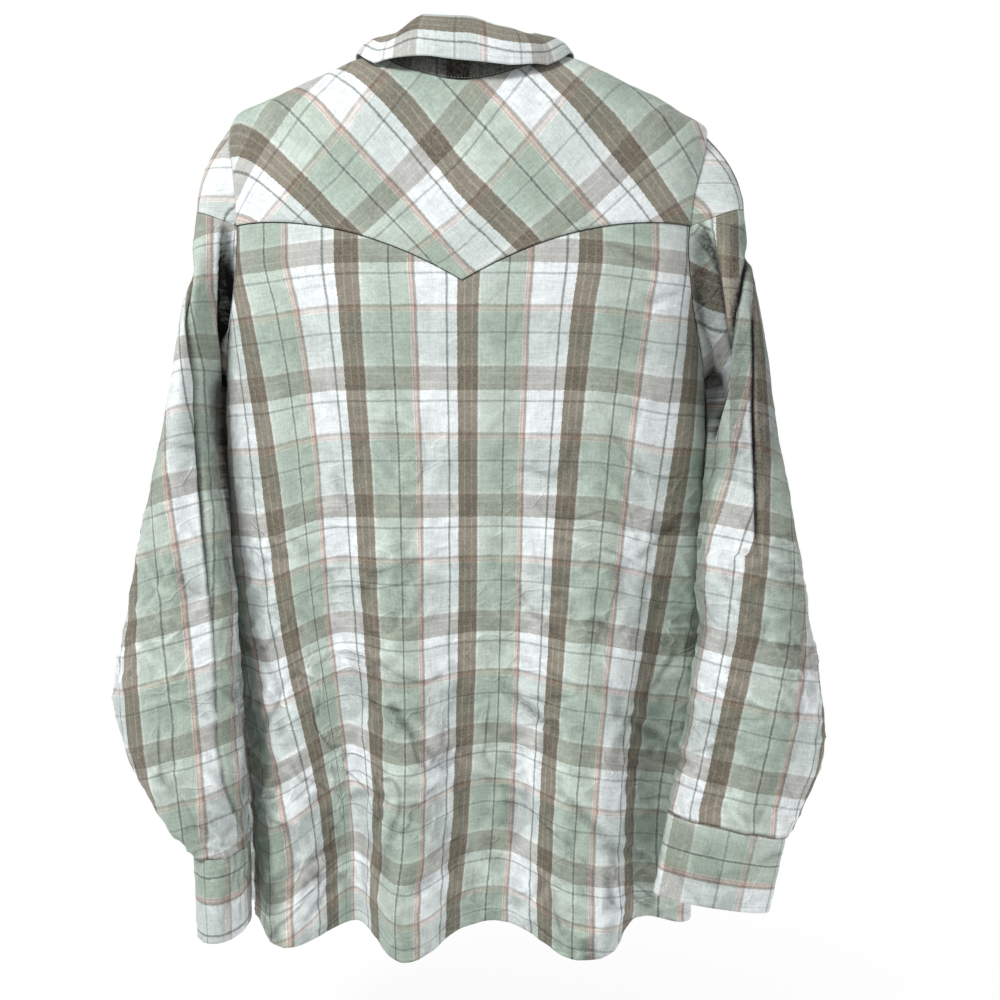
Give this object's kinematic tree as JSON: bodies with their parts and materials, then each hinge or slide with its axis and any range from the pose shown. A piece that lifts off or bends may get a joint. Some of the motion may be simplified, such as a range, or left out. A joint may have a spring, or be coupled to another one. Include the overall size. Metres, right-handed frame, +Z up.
{
  "type": "western snap shirt",
  "caption": "Long-sleeved plaid western snap shirt, filled out and hollow, with a pointed bias yoke, sleeve caps and a turned-down collar.",
  "frame": {"origin": "the hollow of the neck at the height of the back neck seam, in the middle of the shirt, where a wearer's neck and shoulders hold it", "axes": "+Z up, -Y out of the shirt's back, +Y out of its front, +X towards the wearer's right"},
  "size_m": [0.6664, 0.256, 0.8876],
  "materials": {
    "plaid_cotton": "soft washed plain-weave cotton, yarn-dyed plaid in sage, white, taupe and rose, matt",
    "bias_plaid_cotton": "the same plaid cotton cut on the bias, matt",
    "pearl_snap": "pearl-effect snap cap in a pale metal rim, polished"
  },
  "bodies": {
    "root": {"back": "plaid_cotton", "back_yoke": "bias_plaid_cotton", "front_left": "plaid_cotton", "front_right": "plaid_cotton", "front_yoke_left": "bias_plaid_cotton", "front_yoke_right": "bias_plaid_cotton", "front_band": "plaid_cotton", "under_band": "plaid_cotton", "sleeve_cap_left": "plaid_cotton", "sleeve_cap_right": "plaid_cotton", "sleeve_left": "plaid_cotton", "sleeve_right": "plaid_cotton", "sleeve_placket_left": "plaid_cotton", "sleeve_placket_right": "plaid_cotton", "cuff_left": "plaid_cotton", "cuff_right": "plaid_cotton", "collar_stand": "plaid_cotton", "collar_fall": "plaid_cotton", "snap_front_1": "pearl_snap", "snap_front_2": "pearl_snap", "snap_front_3": "pearl_snap", "snap_front_4": "pearl_snap", "snap_front_5": "pearl_snap", "snap_front_6": "pearl_snap", "snap_stand_cap": "pearl_snap", "snap_stand_socket": "pearl_snap", "snap_cuff_left_1": "pearl_snap", "snap_cuff_left_2": "pearl_snap", "snap_cuff_right_1": "pearl_snap", "snap_cuff_right_2": "pearl_snap"}
  },
  "joints": []
}
